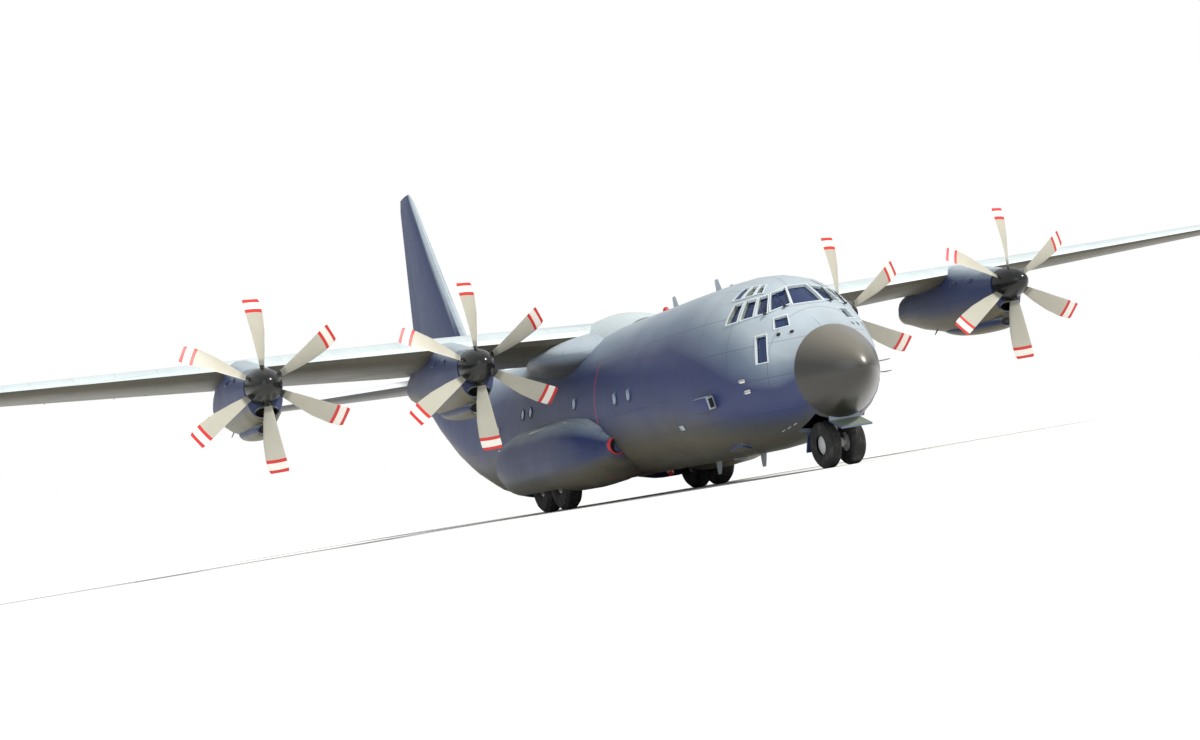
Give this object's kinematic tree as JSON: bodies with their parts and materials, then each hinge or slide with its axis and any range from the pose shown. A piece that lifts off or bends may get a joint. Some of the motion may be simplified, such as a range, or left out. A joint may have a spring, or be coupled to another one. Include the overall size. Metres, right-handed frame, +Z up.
{
  "type": "four-engine turboprop military transport aeroplane, 1:2 scale model",
  "caption": "Half-scale high-wing turboprop military transport aeroplane with a rear loading ramp, hollow hold and flight deck, moving control surfaces, and a steered nose wheel on fixed gear.",
  "frame": {"origin": "on the ground under the middle of the bounding box, in the middle plane of the fuselage", "axes": "+X towards the left wing tip, +Y towards the tail, +Z up; the nose points along -Y"},
  "size_m": [20.2, 17.1853, 5.92],
  "materials": {
    "hull": "satin paint, pale above and dark on the sides",
    "wing": "satin grey paint",
    "control": "satin grey paint",
    "tail": "painted composite",
    "radome": "glossy dark composite",
    "nacelle": "satin dark paint",
    "spinner": "glossy black spinner, satin grey blades",
    "glass": "dark tinted panes",
    "inside": "flat interior paint",
    "floor": "worn floor plates",
    "engine": "plain block",
    "gear": "pale grey gear paint",
    "rim": "cast wheel",
    "tyre": "black rubber"
  },
  "bodies": {
    "airframe": {"aft_fuselage": "hull", "cargo_floor": "floor", "centre_fuselage": "hull", "cockpit_glazing": "glass", "engine_1": "engine", "engine_2": "engine", "engine_3": "engine", "engine_4": "engine", "fin": "tail", "flight_deck": "inside", "forward_fuselage": "hull", "main_gear_leg_left": "gear", "main_gear_leg_right": "gear", "nacelle_1": "nacelle", "nacelle_2": "nacelle", "nacelle_3": "nacelle", "nacelle_4": "nacelle", "nose_gear_door_front": "hull", "nose_gear_door_rear": "hull", "nose_gear_leg": "gear", "nose_section": "hull", "paratroop_door_left": "hull", "paratroop_door_right": "hull", "radome": "radome", "sponson_left": "hull", "sponson_right": "hull", "tailplane_left": "tail", "tailplane_right": "tail", "wing_centre": "wing", "wing_outer_left": "wing", "wing_outer_right": "wing"},
    "propeller_1": {"propeller_1": "spinner"},
    "propeller_2": {"propeller_2": "spinner"},
    "propeller_3": {"propeller_3": "spinner"},
    "propeller_4": {"propeller_4": "spinner"},
    "nose_steering": {"nose_gear_fork": "gear"},
    "nose_wheels": {"nose_hub": "rim", "nose_tyre_left": "tyre", "nose_tyre_right": "tyre"},
    "main_wheel_left_front": {"main_rim_left_front": "rim", "main_tyre_left_front": "tyre"},
    "main_wheel_left_rear": {"main_rim_left_rear": "rim", "main_tyre_left_rear": "tyre"},
    "main_wheel_right_front": {"main_rim_right_front": "rim", "main_tyre_right_front": "tyre"},
    "main_wheel_right_rear": {"main_rim_right_rear": "rim", "main_tyre_right_rear": "tyre"},
    "aileron_left": {"aileron_left": "control"},
    "aileron_right": {"aileron_right": "control"},
    "elevator_left": {"elevator_left": "tail"},
    "elevator_right": {"elevator_right": "tail"},
    "rudder": {"rudder": "tail"},
    "flap_inner_left": {"flap_inner_left": "control"},
    "flap_inner_right": {"flap_inner_right": "control"},
    "flap_outer_left": {"flap_outer_left": "control"},
    "flap_outer_right": {"flap_outer_right": "control"},
    "crew_door": {"crew_door": "hull"},
    "cargo_ramp": {"cargo_ramp": "hull"},
    "cargo_door": {"cargo_door": "hull"}
  },
  "joints": [
    {"name": "propeller_1_spin", "type": "hinge", "parent": "airframe", "child": "propeller_1", "pos_m": [5.08, -3.4725, 2.015], "axis": [0, 1, 0], "continuous": true},
    {"name": "propeller_2_spin", "type": "hinge", "parent": "airframe", "child": "propeller_2", "pos_m": [2.48, -3.4725, 1.9], "axis": [0, 1, 0], "continuous": true},
    {"name": "propeller_3_spin", "type": "hinge", "parent": "airframe", "child": "propeller_3", "pos_m": [-2.48, -3.4725, 1.9], "axis": [0, 1, 0], "continuous": true},
    {"name": "propeller_4_spin", "type": "hinge", "parent": "airframe", "child": "propeller_4", "pos_m": [-5.08, -3.4725, 2.015], "axis": [0, 1, 0], "continuous": true},
    {"name": "nose_steering_turn", "type": "hinge", "parent": "airframe", "child": "nose_steering", "pos_m": [0, -7.6775, 0.535], "axis": [0, 0, 1], "range_deg": [-60, 60]},
    {"name": "nose_wheels_spin", "type": "hinge", "parent": "nose_steering", "child": "nose_wheels", "pos_m": [0, -7.6775, 0.2475], "axis": [1, 0, 0], "continuous": true},
    {"name": "main_wheel_left_front_spin", "type": "hinge", "parent": "airframe", "child": "main_wheel_left_front", "pos_m": [1.0875, -1.8975, 0.355], "axis": [1, 0, 0], "continuous": true},
    {"name": "main_wheel_left_rear_spin", "type": "hinge", "parent": "airframe", "child": "main_wheel_left_rear", "pos_m": [1.0875, -1.1375, 0.355], "axis": [1, 0, 0], "continuous": true},
    {"name": "main_wheel_right_front_spin", "type": "hinge", "parent": "airframe", "child": "main_wheel_right_front", "pos_m": [-1.0875, -1.8975, 0.355], "axis": [1, 0, 0], "continuous": true},
    {"name": "main_wheel_right_rear_spin", "type": "hinge", "parent": "airframe", "child": "main_wheel_right_rear", "pos_m": [-1.0875, -1.1375, 0.355], "axis": [1, 0, 0], "continuous": true},
    {"name": "aileron_left_hinge", "type": "hinge", "parent": "airframe", "child": "aileron_left", "pos_m": [7.845, -0.87618, 2.48008], "axis": [0.9954, -0.0834, 0.0463], "range_deg": [-15, 25]},
    {"name": "aileron_right_hinge", "type": "hinge", "parent": "airframe", "child": "aileron_right", "pos_m": [-7.845, -0.87618, 2.48008], "axis": [0.9954, 0.0834, -0.0463], "range_deg": [-15, 25]},
    {"name": "elevator_left_hinge", "type": "hinge", "parent": "airframe", "child": "elevator_left", "pos_m": [2.2125, 7.84462, 2.51], "axis": [0.9999, -0.0108, 0], "range_deg": [-15, 30]},
    {"name": "elevator_right_hinge", "type": "hinge", "parent": "airframe", "child": "elevator_right", "pos_m": [-2.2125, 7.84462, 2.51], "axis": [0.9999, 0.0108, 0], "range_deg": [-15, 30]},
    {"name": "rudder_hinge", "type": "hinge", "parent": "airframe", "child": "rudder", "pos_m": [0, 7.6173, 4.25], "axis": [0, 0.02, 0.9998], "range_deg": [-30, 30]},
    {"name": "flap_inner_left_hinge", "type": "hinge", "parent": "airframe", "child": "flap_inner_left", "pos_m": [1.9, -0.4287, 1.78861], "axis": [-1, 0, 0], "range_deg": [0, 36]},
    {"name": "flap_inner_right_hinge", "type": "hinge", "parent": "airframe", "child": "flap_inner_right", "pos_m": [-1.9, -0.4287, 1.78861], "axis": [-1, 0, 0], "range_deg": [0, 36]},
    {"name": "flap_outer_left_hinge", "type": "hinge", "parent": "airframe", "child": "flap_outer_left", "pos_m": [4.435, -0.56879, 1.91509], "axis": [-1, 0, 0], "range_deg": [0, 36]},
    {"name": "flap_outer_right_hinge", "type": "hinge", "parent": "airframe", "child": "flap_outer_right", "pos_m": [-4.435, -0.56879, 1.91509], "axis": [-1, 0, 0], "range_deg": [0, 36]},
    {"name": "crew_door_hinge", "type": "hinge", "parent": "airframe", "child": "crew_door", "pos_m": [0.78549, -6.9025, 0.5355], "axis": [0, 1, 0], "range_deg": [0, 125]},
    {"name": "cargo_ramp_hinge", "type": "hinge", "parent": "airframe", "child": "cargo_ramp", "pos_m": [0, 1.9125, 0.31], "axis": [-1, 0, 0], "range_deg": [0, 27]},
    {"name": "cargo_door_hinge", "type": "hinge", "parent": "airframe", "child": "cargo_door", "pos_m": [0, 5.7075, 1.8], "axis": [-1, 0, 0], "range_deg": [0, 22]}
  ],
  "couplings": [
    {"joint": "elevator_right_hinge", "follows": "elevator_left_hinge", "ratio": 1},
    {"joint": "flap_inner_right_hinge", "follows": "flap_inner_left_hinge", "ratio": 1},
    {"joint": "flap_outer_left_hinge", "follows": "flap_inner_left_hinge", "ratio": 1},
    {"joint": "flap_outer_right_hinge", "follows": "flap_inner_left_hinge", "ratio": 1}
  ]
}
